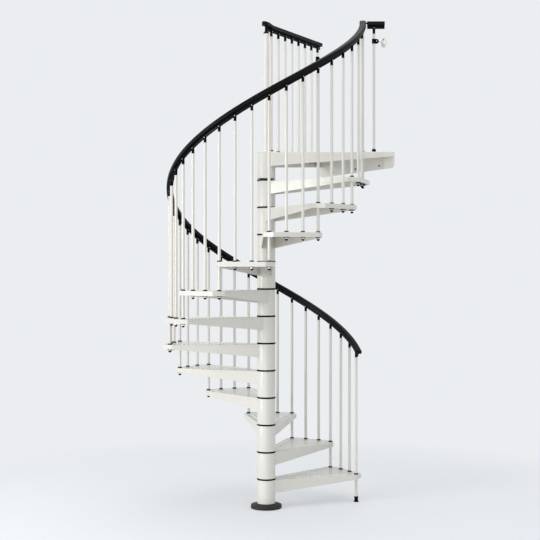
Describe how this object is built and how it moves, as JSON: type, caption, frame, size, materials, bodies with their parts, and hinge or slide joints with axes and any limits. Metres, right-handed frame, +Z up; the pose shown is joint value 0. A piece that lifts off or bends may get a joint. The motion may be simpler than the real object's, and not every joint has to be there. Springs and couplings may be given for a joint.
{
  "type": "spiral staircase",
  "caption": "Spiral staircase of folded white steel treads on a centre column, with slim posts, a black helical handrail and a landing that bolts to a wall.",
  "frame": {"origin": "on the column's axis, on the underside of the base plate, at floor level", "axes": "+Z up along the column; +X square to the wall that carries the landing, pointing at it; the stair climbs counter-clockwise seen from above"},
  "size_m": [1.6086, 1.5881, 3.768],
  "materials": {
    "white_paint": "satin powder coat",
    "black_fittings": "fine moulded matte",
    "handrail": "satin moulded",
    "bare_steel": "rolled"
  },
  "bodies": {
    "root": {"base_plate": "bare_steel", "base_cover": "black_fittings", "centre_pole": "white_paint", "spacer_rings": "black_fittings", "tread_01": "white_paint", "tread_02": "white_paint", "tread_03": "white_paint", "tread_04": "white_paint", "tread_05": "white_paint", "tread_06": "white_paint", "tread_07": "white_paint", "tread_08": "white_paint", "tread_09": "white_paint", "tread_10": "white_paint", "tread_11": "white_paint", "tread_12": "white_paint", "landing": "white_paint", "first_post": "white_paint", "first_post_foot": "black_fittings", "posts_01": "white_paint", "posts_02": "white_paint", "posts_03": "white_paint", "posts_04": "white_paint", "posts_05": "white_paint", "posts_06": "white_paint", "posts_07": "white_paint", "posts_08": "white_paint", "posts_09": "white_paint", "posts_10": "white_paint", "posts_11": "white_paint", "posts_12": "white_paint", "landing_posts": "white_paint", "near_post": "white_paint", "post_collars": "black_fittings", "landing_sockets": "black_fittings", "nut_washers": "black_fittings", "post_nuts": "bare_steel", "nut_caps": "black_fittings", "handrail": "handrail", "landing_rail": "handrail", "near_rail": "handrail", "near_rail_link": "black_fittings", "rail_brackets": "black_fittings", "landing_rail_brackets": "black_fittings", "newel_cap": "black_fittings", "wall_clamps": "black_fittings", "wall_rods": "white_paint", "wall_plates": "white_paint"}
  },
  "joints": []
}
